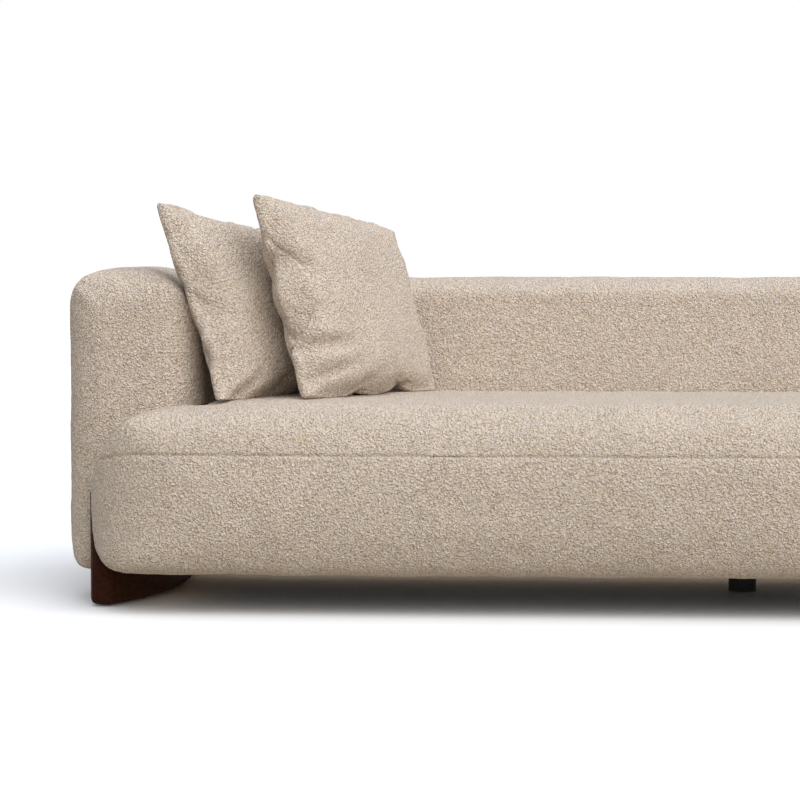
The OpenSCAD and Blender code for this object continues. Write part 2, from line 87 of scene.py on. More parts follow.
def add_node(
    tree: bpy.types.NodeTree,
    kind: str,
    settings: dict[str, object] | None = None,
    inputs: dict[int | str, object] | None = None,
) -> bpy.types.Node:
    """Adds a node with its settings and what goes into it.

    Args:
        tree: The node tree it joins.
        kind: The node's type, without the leading "ShaderNode".
        settings: The node's own properties.
        inputs: A value, or the socket that feeds it, for each input by name or number.

    Returns:
        The new node.
    """
    node = tree.nodes.new("ShaderNode" + kind)
    for name, value in (settings or {}).items():
        setattr(node, name, value)
    for name, value in (inputs or {}).items():
        if isinstance(value, bpy.types.NodeSocket):
            tree.links.new(value, node.inputs[name])
        else:
            node.inputs[name].default_value = value
    return node


def deselect() -> None:
    """Leaves object mode with nothing selected."""
    if bpy.context.object and bpy.context.object.mode != "OBJECT":
        bpy.ops.object.mode_set(mode="OBJECT")
    bpy.ops.object.select_all(action="DESELECT")


def take(obj: bpy.types.Object) -> bpy.types.Object:
    """Makes obj the only selected object, and the active one."""
    deselect()
    obj.select_set(True)
    bpy.context.view_layer.objects.active = obj
    return obj


def smooth(low: float, high: float, value: np.ndarray) -> np.ndarray:
    """Rises from 0 at low to 1 at high with level ends."""
    t = np.clip((value - low) / (high - low), 0, 1)
    return t * t * (3 - 2 * t)


def bell(distance: np.ndarray, width: float) -> np.ndarray:
    """Falls from 1 at no distance to near 0 at twice the width."""
    return np.exp(-((distance / width) ** 2))


def points(obj: bpy.types.Object) -> np.ndarray:
    """The places of a mesh's vertices, one row each."""
    flat = np.empty(len(obj.data.vertices) * 3)
    obj.data.vertices.foreach_get("co", flat)
    return flat.reshape(-1, 3)


def normals(obj: bpy.types.Object) -> np.ndarray:
    """The outward directions at a mesh's vertices, one row each."""
    flat = np.empty(len(obj.data.vertices) * 3)
    obj.data.vertices.foreach_get("normal", flat)
    return flat.reshape(-1, 3)


def place_points(obj: bpy.types.Object, rows: np.ndarray) -> None:
    """Moves a mesh's vertices to the given places."""
    obj.data.vertices.foreach_set("co", np.ascontiguousarray(rows, dtype=np.float32).ravel())
    obj.data.update()


def apply_modifier(obj: bpy.types.Object, kind: str, **settings: object) -> None:
    """Adds a modifier with its settings and applies it.

    Args:
        obj: The object it works on.
        kind: The modifier's type.
        settings: The modifier's own properties.
    """
    take(obj)
    modifier = obj.modifiers.new(kind.title(), kind)
    for name, value in settings.items():
        setattr(modifier, name, value)
    bpy.ops.object.modifier_apply(modifier=modifier.name)


def node_copy(name: str, *nodes: str) -> bpy.types.Object:
    """Copies solids of the frame into one new merged mesh.

    Args:
        name: The new object's name.
        nodes: The names of the solids.

    Returns:
        The new object, at the origin.
    """
    copies = []
    for node in nodes:
        mesh = frame["nodes"][node].data.copy()
        mesh.materials.clear()
        copy = bpy.data.objects.new(name, mesh)
        bpy.context.scene.collection.objects.link(copy)
        copies.append(copy)
    take(copies[0])
    for copy in copies:
        copy.select_set(True)
    if len(copies) > 1:
        bpy.ops.object.join()
    bpy.ops.object.mode_set(mode="EDIT")
    bpy.ops.mesh.select_all(action="SELECT")
    bpy.ops.mesh.remove_doubles(threshold=0.01 * MM)
    bpy.ops.object.mode_set(mode="OBJECT")
    copies[0].name = name
    return copies[0]


def keep_hull(obj: bpy.types.Object, keep: Callable[[np.ndarray], np.ndarray]) -> None:
    """Turns part of a mesh into the convex shape round it.

    Args:
        obj: The mesh.
        keep: Says which of the vertices are kept, from their places.
    """
    take(obj)
    chosen = keep(points(obj))
    bpy.ops.object.mode_set(mode="EDIT")
    bpy.ops.mesh.select_mode(type="VERT")
    bpy.ops.mesh.select_all(action="DESELECT")
    bpy.ops.object.mode_set(mode="OBJECT")
    obj.data.vertices.foreach_set("select", ~chosen)
    bpy.ops.object.mode_set(mode="EDIT")
    bpy.ops.mesh.delete(type="VERT")
    bpy.ops.mesh.select_all(action="SELECT")
    bpy.ops.mesh.convex_hull()
    bpy.ops.mesh.normals_make_consistent(inside=False)
    bpy.ops.object.mode_set(mode="OBJECT")


def cut_loops(obj: bpy.types.Object, at: Vector, facing: Vector, offsets: list[float]) -> None:
    """Cuts extra edge loops into a mesh, side by side.

    Args:
        obj: The mesh.
        at: A point that the middle loop's plane passes through.
        facing: The direction that plane faces.
        offsets: The distances of the loops from it.
    """
    take(obj)
    bpy.ops.object.mode_set(mode="EDIT")
    for offset in offsets:
        bpy.ops.mesh.select_all(action="SELECT")
        bpy.ops.mesh.bisect(plane_co=at + facing * offset, plane_no=facing)
    bpy.ops.object.mode_set(mode="OBJECT")


# ---------------------------------------------------------------------------------------------
# Finishes
# ---------------------------------------------------------------------------------------------


class Grain(Enum):
    """The direction a wooden piece's grain runs."""

    ALONG_X = 0
    ALONG_Y = 1
    ALONG_Z = 2


def new_material(name: str) -> tuple[bpy.types.Material, bpy.types.NodeTree, bpy.types.Node]:
    """Starts a node material.

    Args:
        name: The material's name.

    Returns:
        The material, its node tree, and its surface shader.
    """
    material = bpy.data.materials.new(name)
    material.use_nodes = True
    tree = material.node_tree
    tree.nodes.clear()
    shader = add_node(tree, "BsdfPrincipled")
    add_node(tree, "OutputMaterial", inputs={"Surface": shader.outputs["BSDF"]})
    return material, tree, shader


@dataclass(frozen=True)
class LoopedCloth:
    """Boucle: curled wool yarn standing in small loops on a knitted ground.

    The eye gets a matt pebbled surface with a faint glow of loose fibre at the edges. Its colour
    carries
    painted shade: lighter yarn on the tops of the loops, a darker valley colour between them and a
    darker pit colour in the deepest hollows.
    """

    name: str
    yarn: str = "#ede1d5"
    # Painted shade: the valley colour darkens the hollows between the loops.
    valley_shade: str = "#e2d2c1"
    # Painted shade: the pit colour darkens the deepest hollows between the loops.
    pit_shade: str = "#9c8467"
    loop_mm: float = 5.2
    curl_mm: float = 3.2
    patch_mm: float = 170.0
    height_mm: float = 4.2
    roughness: float = 0.95

    def build(self) -> bpy.types.Material:
        """Builds the material."""
        material, tree, shader = new_material(self.name)
        place = add_node(tree, "TexCoord").outputs["Object"]
        stir = add_node(tree, "TexNoise", inputs={
            "Vector": place, "Scale": 0.6 / (self.loop_mm * MM), "Detail": 2.0})
        centred = add_node(tree, "VectorMath", {"operation": "SUBTRACT"}, {
            0: stir.outputs["Color"], 1: (0.5, 0.5, 0.5)})
        stirred = add_node(tree, "VectorMath", {"operation": "MULTIPLY_ADD"}, {
            0: centred.outputs[0], 1: (2.2 * self.loop_mm * MM,) * 3, 2: place})
        loops = add_node(tree, "TexVoronoi", {"feature": "SMOOTH_F1"}, {
            "Vector": stirred.outputs[0], "Scale": 1 / (self.loop_mm * MM), "Smoothness": 0.35})
        crown = add_node(tree, "MapRange", {"interpolation_type": "SMOOTHSTEP"}, {
            0: loops.outputs["Distance"], 1: 0.05, 2: 0.62, 3: 1.0, 4: 0.0})
        curls = add_node(tree, "TexNoise", inputs={
            "Vector": place, "Scale": 1 / (self.curl_mm * MM), "Detail": 3.0, "Roughness": 0.6})
        height = add_node(tree, "Math", {"operation": "MULTIPLY_ADD"}, {
            0: curls.outputs["Fac"], 1: 0.9, 2: crown.outputs[0]})
        # How low a point lies between the loops; low down it mixes in the valley colour as painted
        # shade.
        depth = add_node(tree, "MapRange", {"interpolation_type": "SMOOTHSTEP"}, {
            0: height.outputs[0], 1: 0.55, 2: 1.25, 3: 0.0, 4: 1.0})
        # Marks the deepest hollows between the loops, where the pit colour is painted as shade.
        pit_shade_mask = add_node(tree, "MapRange", {"interpolation_type": "SMOOTHSTEP"}, {
            0: height.outputs[0], 1: 0.30, 2: 0.56, 3: 1.0, 4: 0.0})
        patches = add_node(tree, "TexNoise", inputs={
            "Vector": place, "Scale": 1 / (self.patch_mm * MM), "Detail": 2.0})
        tone = add_node(tree, "MapRange", inputs={
            0: patches.outputs["Fac"], 1: 0.3, 2: 0.7, 3: 0.98, 4: 1.02})
        speck = add_node(tree, "MapRange", inputs={
            0: loops.outputs["Color"], 1: 0.0, 2: 1.0, 3: 0.98, 4: 1.02})
        both = add_node(tree, "Math", {"operation": "MULTIPLY"}, {
            0: tone.outputs[0], 1: speck.outputs[0]})
        # Painted shade: the valley colour in the low parts between the loops, the yarn colour on
        # their tops.
        cloth = add_node(tree, "Mix", {"data_type": "RGBA"}, {
            0: depth.outputs[0], 6: linear(self.valley_shade), 7: linear(self.yarn)})
        # Painted shade: the pit colour over the deepest hollows.
        pit_shaded = add_node(tree, "Mix", {"data_type": "RGBA"}, {
            0: pit_shade_mask.outputs[0], 6: cloth.outputs[2], 7: linear(self.pit_shade)})
        toned = add_node(tree, "Mix", {"data_type": "RGBA", "blend_type": "MULTIPLY"}, {
            0: 1.0, 6: pit_shaded.outputs[2], 7: both.outputs[0]})
        relief = add_node(tree, "Bump", inputs={
            "Strength": 1.0, "Distance": self.height_mm * MM, "Height": height.outputs[0]})
        shader.inputs["Roughness"].default_value = self.roughness
        shader.inputs["Specular IOR Level"].default_value = 0.15
        shader.inputs["Sheen Weight"].default_value = 0.12
        shader.inputs["Sheen Roughness"].default_value = 0.5
        tree.links.new(toned.outputs[2], shader.inputs["Base Color"])
        tree.links.new(relief.outputs[0], shader.inputs["Normal"])
        return material


@dataclass(frozen=True)
class Timber:
    """Sawn or turned wood: long fibres that show as streaks, and fine pores along them."""

    name: str
    light: str
    dark: str
    grain: Grain
    streak_mm: float = 7.0
    pore_mm: float = 0.9
    roughness: float = 0.5
    shine: float = 0.5

    def build(self) -> bpy.types.Material:
        """Builds the material."""
        material, tree, shader = new_material(self.name)
        place = add_node(tree, "TexCoord").outputs["Object"]
        drawn_out = [1.0, 1.0, 1.0]
        drawn_out[self.grain.value] = 1 / 18
        along = add_node(tree, "Mapping", inputs={"Vector": place, "Scale": tuple(drawn_out)})
        streaks = add_node(tree, "TexNoise", inputs={
            "Vector": along.outputs[0], "Scale": 1 / (self.streak_mm * MM), "Detail": 4.0,
            "Roughness": 0.62, "Distortion": 0.6})
        pores = add_node(tree, "TexNoise", inputs={
            "Vector": along.outputs[0], "Scale": 1 / (self.pore_mm * MM), "Detail": 1.0})
        pore = add_node(tree, "MapRange", inputs={
            0: pores.outputs["Fac"], 1: 0.32, 2: 0.46, 3: 0.0, 4: 1.0})
        band = add_node(tree, "MapRange", inputs={
            0: streaks.outputs["Fac"], 1: 0.3, 2: 0.7, 3: 0.0, 4: 1.0})
        wood = add_node(tree, "Mix", {"data_type": "RGBA"}, {
            0: band.outputs[0], 6: linear(self.dark), 7: linear(self.light)})
        pored = add_node(tree, "Mix", {"data_type": "RGBA"}, {
            0: pore.outputs[0], 6: linear(self.dark), 7: wood.outputs[2]})
        gloss = add_node(tree, "MapRange", inputs={
            0: band.outputs[0], 1: 0.0, 2: 1.0, 3: self.roughness + 0.06,
            4: self.roughness - 0.04})
        relief = add_node(tree, "Bump", inputs={
            "Strength": 0.35, "Distance": 0.3 * MM, "Height": pore.outputs[0]})
        shader.inputs["IOR"].default_value = 1.5
        shader.inputs["Specular IOR Level"].default_value = self.shine
        tree.links.new(pored.outputs[2], shader.inputs["Base Color"])
        tree.links.new(gloss.outputs[0], shader.inputs["Roughness"])
        tree.links.new(relief.outputs[0], shader.inputs["Normal"])
        return material


@dataclass(frozen=True)
class WovenStrap:
    """Jute and rubber webbing: a flat plain weave of coarse threads."""

    name: str
    thread: str = "#a38c68"
    gap: str = "#4d3f2b"
    thread_mm: float = 3.0
    roughness: float = 0.85

    def build(self) -> bpy.types.Material:
        """Builds the material."""
        material, tree, shader = new_material(self.name)
        place = add_node(tree, "TexCoord").outputs["Object"]
        rows = []
        for axis in ("X", "Y", "Z"):
            rows.append(add_node(tree, "TexWave", {"bands_direction": axis}, {
                "Vector": place, "Scale": 0.314 / (self.thread_mm * MM), "Distortion": 0.6}))
        both = add_node(tree, "Math", {"operation": "MULTIPLY"}, {
            0: rows[0].outputs["Fac"], 1: rows[1].outputs["Fac"]})
        weave = add_node(tree, "Math", {"operation": "MAXIMUM"}, {
            0: both.outputs[0], 1: rows[2].outputs["Fac"]})
        cloth = add_node(tree, "Mix", {"data_type": "RGBA"}, {
            0: weave.outputs[0], 6: linear(self.gap), 7: linear(self.thread)})
        relief = add_node(tree, "Bump", inputs={
            "Strength": 0.6, "Distance": 0.5 * MM, "Height": weave.outputs[0]})
        shader.inputs["Roughness"].default_value = self.roughness
        tree.links.new(cloth.outputs[2], shader.inputs["Base Color"])
        tree.links.new(relief.outputs[0], shader.inputs["Normal"])
        return material


@dataclass(frozen=True)
class PressedFibre:
    """Felt or spunbond cloth: short fibres pressed flat, with no weave."""

    name: str
    light: str
    dark: str
    fibre_mm: float = 1.4
    roughness: float = 0.92

    def build(self) -> bpy.types.Material:
        """Builds the material."""
        material, tree, shader = new_material(self.name)
        place = add_node(tree, "TexCoord").outputs["Object"]
        fibres = add_node(tree, "TexNoise", inputs={
            "Vector": place, "Scale": 1 / (self.fibre_mm * MM), "Detail": 4.0, "Distortion": 1.4})
        specks = add_node(tree, "TexVoronoi", inputs={
            "Vector": place, "Scale": 0.4 / (self.fibre_mm * MM)})
        height = add_node(tree, "Math", {"operation": "MULTIPLY"}, {
            0: fibres.outputs["Fac"], 1: specks.outputs["Distance"]})
        spread = add_node(tree, "MapRange", inputs={
            0: height.outputs[0], 1: 0.05, 2: 0.4, 3: 0.0, 4: 1.0})
        cloth = add_node(tree, "Mix", {"data_type": "RGBA"}, {
            0: spread.outputs[0], 6: linear(self.dark), 7: linear(self.light)})
        relief = add_node(tree, "Bump", inputs={
            "Strength": 0.5, "Distance": 0.3 * MM, "Height": height.outputs[0]})
        shader.inputs["Roughness"].default_value = self.roughness
        tree.links.new(cloth.outputs[2], shader.inputs["Base Color"])
        tree.links.new(relief.outputs[0], shader.inputs["Normal"])
        return material


@dataclass(frozen=True)
class PlatedSteel:
    """Zinc-plated steel: a bright metal with a faint crystal pattern and a dulled surface."""

    name: str
    light: str = "#c2c4c6"
    dark: str = "#9b9da0"
    crystal_mm: float = 2.0
    roughness: float = 0.32

    def build(self) -> bpy.types.Material:
        """Builds the material."""
        material, tree, shader = new_material(self.name)
        place = add_node(tree, "TexCoord").outputs["Object"]
        crystals = add_node(tree, "TexVoronoi", inputs={
            "Vector": place, "Scale": 1 / (self.crystal_mm * MM)})
        plate = add_node(tree, "Mix", {"data_type": "RGBA"}, {
            0: crystals.outputs["Distance"], 6: linear(self.light), 7: linear(self.dark)})
        gloss = add_node(tree, "MapRange", inputs={
            0: crystals.outputs["Distance"], 1: 0.0, 2: 1.0, 3: self.roughness - 0.05,
            4: self.roughness + 0.1})
        shader.inputs["Metallic"].default_value = 1.0
        tree.links.new(plate.outputs[2], shader.inputs["Base Color"])
        tree.links.new(gloss.outputs[0], shader.inputs["Roughness"])
        return material


@dataclass(frozen=True)
class MouldedPlastic:
    """Polypropylene from a sparked mould: dark, with a fine even pebble that dulls the gloss."""

    name: str
    light: str = "#26262a"
    dark: str = "#17171a"
    pebble_mm: float = 0.9
    roughness: float = 0.48

    def build(self) -> bpy.types.Material:
        """Builds the material."""
        material, tree, shader = new_material(self.name)
        place = add_node(tree, "TexCoord").outputs["Object"]
        pebble = add_node(tree, "TexNoise", inputs={
            "Vector": place, "Scale": 1 / (self.pebble_mm * MM), "Detail": 2.0})
        skin = add_node(tree, "Mix", {"data_type": "RGBA"}, {
            0: pebble.outputs["Fac"], 6: linear(self.dark), 7: linear(self.light)})
        relief = add_node(tree, "Bump", inputs={
            "Strength": 0.4, "Distance": 0.15 * MM, "Height": pebble.outputs["Fac"]})
        shader.inputs["IOR"].default_value = 1.49
        shader.inputs["Roughness"].default_value = self.roughness
        tree.links.new(skin.outputs[2], shader.inputs["Base Color"])
        tree.links.new(relief.outputs[0], shader.inputs["Normal"])
        return material


# ---------------------------------------------------------------------------------------------
# Stuffed pieces
# ---------------------------------------------------------------------------------------------


@dataclass
class Stuffed:
    """A stuffed, covered shape that swells as cloth under pressure."""

    name: str
    body: str
    stands_for: tuple[str, ...]
    voxel: float = 0.016
    cap_out: float = 0.009
    cap_in: float = 0.003
    pressure: float = 4.0
    frames: int = 20
    fill: float = 0.85
    soften: int = 4
    lump_sizes: tuple[tuple[float, float], ...] = ((0.12, 0.005), (0.022, 0.0022))

    def form(self) -> bpy.types.Object:
        """Makes the closed shape that swells."""
        raise NotImplementedError

    def held(self, rows: np.ndarray) -> np.ndarray:
        """Says how firmly each point is held, from 0 to 1."""
        return np.zeros(len(rows))

    def shape(self, obj: bpy.types.Object) -> None:
        """Gives the swollen piece its seams, hollows and folds."""

    def simulate(self, obj: bpy.types.Object) -> np.ndarray:
        """Runs the cloth and returns where it takes each point."""
        hold = np.round(self.held(points(obj)), 1)
        group = obj.vertex_groups.new(name="held")
        for level in np.unique(hold[hold > 0]):
            chosen = np.nonzero(hold == level)[0]
            group.add([int(i) for i in chosen], float(level), "REPLACE")
        cloth = obj.modifiers.new("Cloth", "CLOTH")
        cloth.settings.quality = 5
        cloth.settings.mass = 0.3
        cloth.settings.tension_stiffness = 20
        cloth.settings.compression_stiffness = 20
        cloth.settings.shear_stiffness = 10
        cloth.settings.bending_stiffness = 0.5
        cloth.settings.use_pressure = True
        cloth.settings.uniform_pressure_force = self.pressure
        cloth.settings.effector_weights.gravity = 0
        cloth.settings.vertex_group_mass = group.name
        cloth.collision_settings.use_collision = False
        cloth.point_cache.frame_start = 1
        cloth.point_cache.frame_end = self.frames
        for step in range(1, self.frames + 1):
            bpy.context.scene.frame_set(step)
        posed = obj.evaluated_get(bpy.context.evaluated_depsgraph_get())
        flat = np.empty(len(obj.data.vertices) * 3)
        posed.data.vertices.foreach_get("co", flat)
        obj.modifiers.remove(cloth)
        obj.vertex_groups.remove(group)
        bpy.context.scene.frame_set(1)
        return flat.reshape(-1, 3)

    def swell(self, obj: bpy.types.Object) -> None:
        """Lets the shape swell as cloth, and caps how far each point goes out or in."""
        start, out = points(obj), normals(obj)
        moved = self.simulate(obj) - start
        along = np.sum(moved * out, axis=1, keepdims=True)
        aside = moved - along * out
        cap = np.where(along > 0, self.cap_out, self.cap_in)
        place_points(obj, start + cap * np.tanh(along / cap) * out + 0.3 * aside)

    def roughen(self, obj: bpy.types.Object) -> None:
        """Gives the cover the slight lumps of its stuffing and of its loops."""
        for size, height in self.lump_sizes:
            lumps = bpy.data.textures.new("lumps", "CLOUDS")
            lumps.noise_scale = size
            lumps.noise_depth = 1
            apply_modifier(obj, "DISPLACE", texture=lumps, strength=height, mid_level=0.5,
                           texture_coords="LOCAL")

    def finish(self, obj: bpy.types.Object, material: bpy.types.Material) -> bpy.types.Object:
        """Dresses the piece, ties it to its body, and hides the solids it stands for."""
        self.roughen(obj)
        take(obj)
        bpy.ops.object.shade_smooth()
        obj.data.materials.clear()
        obj.data.materials.append(material)
        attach(obj, self.body)
        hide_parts(*self.stands_for)
        LOG.info("built %s with %d faces", obj.name, len(obj.data.polygons))
        return obj

    def build(self, material: bpy.types.Material) -> bpy.types.Object:
        """Makes the whole piece.

        Args:
            material: The cloth it is covered in.

        Returns:
            The finished object.
        """
        obj = self.form()
        obj.name = self.name
        obj.data.name = self.name
        apply_modifier(obj, "REMESH", mode="VOXEL", voxel_size=self.voxel)
        apply_modifier(obj, "SMOOTH", factor=0.5, iterations=3)
        self.swell(obj)
        apply_modifier(obj, "SMOOTH", factor=0.4, iterations=self.soften)
        apply_modifier(obj, "SUBSURF", levels=1, render_levels=1)
        self.shape(obj)
        return self.finish(obj, material)


@dataclass
class Seat(Stuffed):
    """The one-piece bench seat: a padded top panel sewn to the band round its sides."""

    name: str = "seat_upholstery"
    body: str = "sofa"
    stands_for: tuple[str, ...] = (
        "seat_top_cover", "seat_band_cover", "seat_foam_core", "seat_foam_topper")
    seam_drop: float = 0.018
    seam_reach: float = 0.085
    seam_depth: float = 0.0028
    seam_width: float = 0.0032
    hem: float = 0.03
    seam_z: float = field(init=False, default=0.0)
    low: Vector = field(init=False, default_factory=Vector)
    high: Vector = field(init=False, default_factory=Vector)

    def form(self) -> bpy.types.Object:
        """Joins the shapes round the bar in front of the arms and the block between them."""
        covers = ("seat_top_cover", "seat_band_cover")
        self.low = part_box("seat_band_cover")[0]
        self.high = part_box("seat_top_cover")[1]
        self.seam_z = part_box("seat_band_cover")[1].z
        arm_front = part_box("arm_left_cover")[0].y
        arm_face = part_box("arm_right_cover")[0].x
        bar = node_copy("bar", *covers)
        keep_hull(bar, lambda rows: rows[:, 1] < arm_front - 0.003)
        block = node_copy("block", *covers)
        keep_hull(block, lambda rows: np.abs(rows[:, 0]) < arm_face + 0.001)
        take(bar)
        block.select_set(True)
        bpy.ops.object.join()
        return bar

    def held(self, rows: np.ndarray) -> np.ndarray:
        """Holds the seam round the seat, and its whole underside."""
        at_seam = bell(rows[:, 2] - self.seam_z, 0.010)
        under = 1 - smooth(self.low.z + 0.004, self.low.z + 0.03, rows[:, 2])
        return np.clip(at_seam + under, 0, 1)

    def shape(self, obj: bpy.types.Object) -> None:
        """Sinks the seam in, lets it dip at the seat's ends, and turns the hem under."""
        up = Vector((0, 0, 1))
        cut_loops(obj, Vector((0, 0, self.seam_z)), up,
                  [-0.011, -0.006, -0.003, 0.0, 0.003, 0.006, 0.011])
        rows, out = points(obj), normals(obj)
        flat = np.hypot(out[:, 0], out[:, 1])
        groove = bell(rows[:, 2] - self.seam_z, self.seam_width) * smooth(0.2, 0.7, flat)
        rows = rows - out * (groove * self.seam_depth)[:, None]
        end = self.high.x - np.abs(rows[:, 0])
        ahead = 1 - smooth(self.low.y + 0.16, self.low.y + 0.22, rows[:, 1])
        dip = np.clip(1 - end / self.seam_reach, 0, 1) ** 1.2 * bell(
            rows[:, 2] - self.seam_z, 0.07)
        rows[:, 2] -= dip * ahead * self.seam_drop
        cover_low, cover_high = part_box("dust_cover")
        inside = np.minimum.reduce([
            rows[:, 0] - cover_low.x, cover_high.x - rows[:, 0],
            rows[:, 1] - cover_low.y - self.hem])
        under = smooth(0.0, 0.012, inside) * (rows[:, 2] < cover_high.z + 0.02)
        rows[:, 2] = np.maximum(rows[:, 2], self.low.z + under * (
            cover_high.z + 0.002 - self.low.z))
        place_points(obj, rows)


@dataclass
class Arm(Stuffed):
    """The left arm, thick and soft with a rounded top; the right one is its mirror image."""

    name: str = "arm_left_upholstery"
    body: str = "sofa"
    stands_for: tuple[str, ...] = ("arm_left_cover", "arm_left_foam")
    voxel: float = 0.013
    cap_out: float = 0.003
    tuck: float = 0.006
    tuck_width: float = 0.016
    over_rear: float = 0.003

    def form(self) -> bpy.types.Object:
        """Makes the closed shape round the arm's cover."""
        shell = node_copy("arm", "arm_left_cover")
        keep_hull(shell, lambda rows: rows[:, 2] > -1)
        return shell

    def held(self, rows: np.ndarray) -> np.ndarray:
        """Holds the arm's underside and the end that meets the back."""
        low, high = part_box("arm_left_cover")
        under = 1 - smooth(low.z + 0.004, low.z + 0.03, rows[:, 2])
        rear = smooth(high.y - 0.03, high.y - 0.01, rows[:, 1])
        return np.clip(under + rear, 0, 1)

    def shape(self, obj: bpy.types.Object) -> None:
        """Tucks the cover in at the outer corner of the arm's brow, and closes its rear end."""
        low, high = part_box("arm_left_cover")
        rows, out = points(obj), normals(obj)
        at = np.array([low.x + 0.055, low.y + 0.012, high.z - 0.042])
        along = np.array([0.8, 0.0, -0.6])
        off = rows - at
        run = off @ along
        off = off - np.clip(run, -0.02, 0.02)[:, None] * along
        depth = self.tuck * bell(np.linalg.norm(off, axis=1), self.tuck_width)
        rows = rows - out * depth[:, None]
        behind = smooth(high.y - 0.020, high.y - 0.006, rows[:, 1])
        rows[:, 1] += behind * np.clip(high.y + self.over_rear - rows[:, 1], 0, None)
        place_points(obj, rows)

    def mirror(self, left: bpy.types.Object, material: bpy.types.Material) -> bpy.types.Object:
        """Makes the right arm from the left one.

        Args:
            left: The finished left arm.
            material: The cloth it is covered in.

        Returns:
            The finished right arm.
        """
        right = bpy.data.objects.new("arm_right_upholstery", left.data.copy())
        bpy.context.scene.collection.objects.link(right)
        place_points(right, points(right) * np.array([-1, 1, 1]))
        take(right)
        bpy.ops.object.mode_set(mode="EDIT")
        bpy.ops.mesh.select_all(action="SELECT")
        bpy.ops.mesh.flip_normals()
        bpy.ops.object.mode_set(mode="OBJECT")
        self.lump_sizes = ()
        self.stands_for = ("arm_right_cover", "arm_right_foam")
        return self.finish(right, material)


@dataclass
class Back(Stuffed):
    """The straight bolster back behind the arms."""

    name: str = "back_upholstery"
    body: str = "sofa"
    stands_for: tuple[str, ...] = ("back_cover", "back_foam")
    cap_out: float = 0.010
    soften: int = 12
    over_board: float = 0.003
    lean: float = 0.14
    lean_from: float = 0.43

    def form(self) -> bpy.types.Object:
        """Makes the closed shape round the back's cover."""
        shell = node_copy("back", "back_cover")
        keep_hull(shell, lambda rows: rows[:, 2] > -1)
        return shell

    def held(self, rows: np.ndarray) -> np.ndarray:
        """Holds the back's underside and, less firmly, its rear over the board."""
        low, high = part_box("back_cover")
        under = 1 - smooth(low.z + 0.004, low.z + 0.03, rows[:, 2])
        rear = smooth(high.y - 0.03, high.y - 0.012, rows[:, 1]) * 0.9
        return np.clip(under + rear, 0, 1)

    def shape(self, obj: bpy.types.Object) -> None:
        """Leans the face back between the arms, and keeps the cover tight over the rear board."""
        rows = points(obj)
        arm_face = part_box("arm_right_cover")[0].x
        between = 1 - smooth(arm_face + 0.002, arm_face + 0.03, np.abs(rows[:, 0]))
        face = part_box("back_cover")[0].y - 0.002
        leaning = face + self.lean * np.clip(rows[:, 2] - self.lean_from, 0, None)
        rows[:, 1] += between * np.clip(leaning - rows[:, 1], 0, None)
        place_points(obj, rows)
        apply_modifier(obj, "SMOOTH", factor=0.5, iterations=14)
        low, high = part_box("back_rear_board")
        rows = points(obj)
        behind = smooth(high.y - 0.020, high.y - 0.006, rows[:, 1])
        beside = 1 - smooth(high.z + 0.006, high.z + 0.022, rows[:, 2])
        across = 1 - smooth(high.x + 0.002, high.x + 0.014, np.abs(rows[:, 0]))
        gap = np.clip(high.y + self.over_board - rows[:, 1], 0, None)
        rows[:, 1] += gap * behind * beside * across
        place_points(obj, rows)


@dataclass(frozen=True)
class Fold:
    """A crease pressed into a pillow's face, from one place on it to another.

    Places are given as shares of half the pillow's width and height, from -1 to 1.
    """

    start: tuple[float, float]
    end: tuple[float, float]
    width: float
    depth: float


@dataclass(frozen=True)
class Settling:
    """How a loose pillow has settled: where its corners have gone, and its creases.

    Each corner's move is along the lower edge, up the face and out of it, in metres. The next sizes
    say how far the near, far and top sides bow in, and what share of its fullness the pillow loses
    behind its near side and in front of its far side.
    """

    which: str
    low_near: tuple[float, float, float]
    low_far: tuple[float, float, float]
    top_near: tuple[float, float, float]
    top_far: tuple[float, float, float]
    blunt_far: float
    near_in: float
    far_in: float
    top_in: float
    thin_behind: float
    thin_far: float
    folds: tuple[Fold, ...]
    turned: bool


FRONT_SETTLING = Settling(
    which="front",
    low_near=(-0.004, 0.014, -0.037),
    low_far=(0.001, 0.004, -0.007),
    top_near=(-0.014, -0.011, -0.020),
    top_far=(-0.006, -0.084, 0.002),
    blunt_far=0.008,
    near_in=0.006,
    far_in=0.012,
    top_in=0.007,
    thin_behind=0.22,
    thin_far=0.36,
    folds=(
        Fold((-0.95, -0.50), (-0.38, -0.52), 0.016, 0.011),
        Fold((-0.92, -0.80), (-0.25, -0.66), 0.014, 0.007),
    ),
    turned=False,
)
REAR_SETTLING = Settling(
    which="rear",
    low_near=(0.0, 0.0, -0.018),
    low_far=(0.0, 0.0, 0.0),
    top_near=(-0.010, -0.031, -0.034),
    top_far=(-0.02, -0.07, 0.0),
    blunt_far=0.020,
    near_in=0.028,
    far_in=0.0,
    top_in=0.028,
    thin_behind=0.36,
    thin_far=0.0,
    folds=(
        Fold((-0.90, 0.66), (-0.66, 0.90), 0.015, 0.008),
        Fold((-0.80, -0.92), (-0.45, -0.72), 0.014, 0.009),
        Fold((0.1, 0.95), (0.16, 0.2), 0.030, 0.010),
    ),
    turned=True,
)


